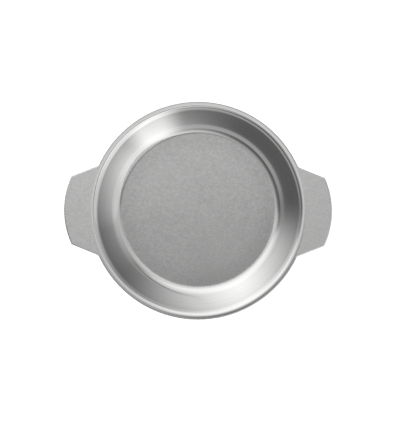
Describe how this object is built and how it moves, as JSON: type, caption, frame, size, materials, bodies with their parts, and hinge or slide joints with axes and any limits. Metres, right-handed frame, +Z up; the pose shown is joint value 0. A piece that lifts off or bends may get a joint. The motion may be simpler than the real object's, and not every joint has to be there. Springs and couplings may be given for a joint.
{
  "type": "plate",
  "caption": "Round shallow stainless steel plate with a flat matte floor, a sloping polished wall, a narrow flat flange and flat tab handles on opposite sides.",
  "frame": {"origin": "middle of the underside of the floor, on the table", "axes": "+Z up out of the dish, +X through the middle of the right tab handle, +Y away from a person who has one tab on the left and one on the right"},
  "size_m": [0.221, 0.18, 0.0146],
  "materials": {
    "dish_steel": "fine matte grain on the floor, polished with faint circular lines on the wall and rim",
    "tab_steel": "fine matte grain",
    "weld_steel": "rippled, as welded and pickled"
  },
  "bodies": {
    "root": {"dish": "dish_steel", "left_tab_handle": "tab_steel", "right_tab_handle": "tab_steel", "left_handle_weld": "weld_steel", "right_handle_weld": "weld_steel"}
  },
  "joints": []
}
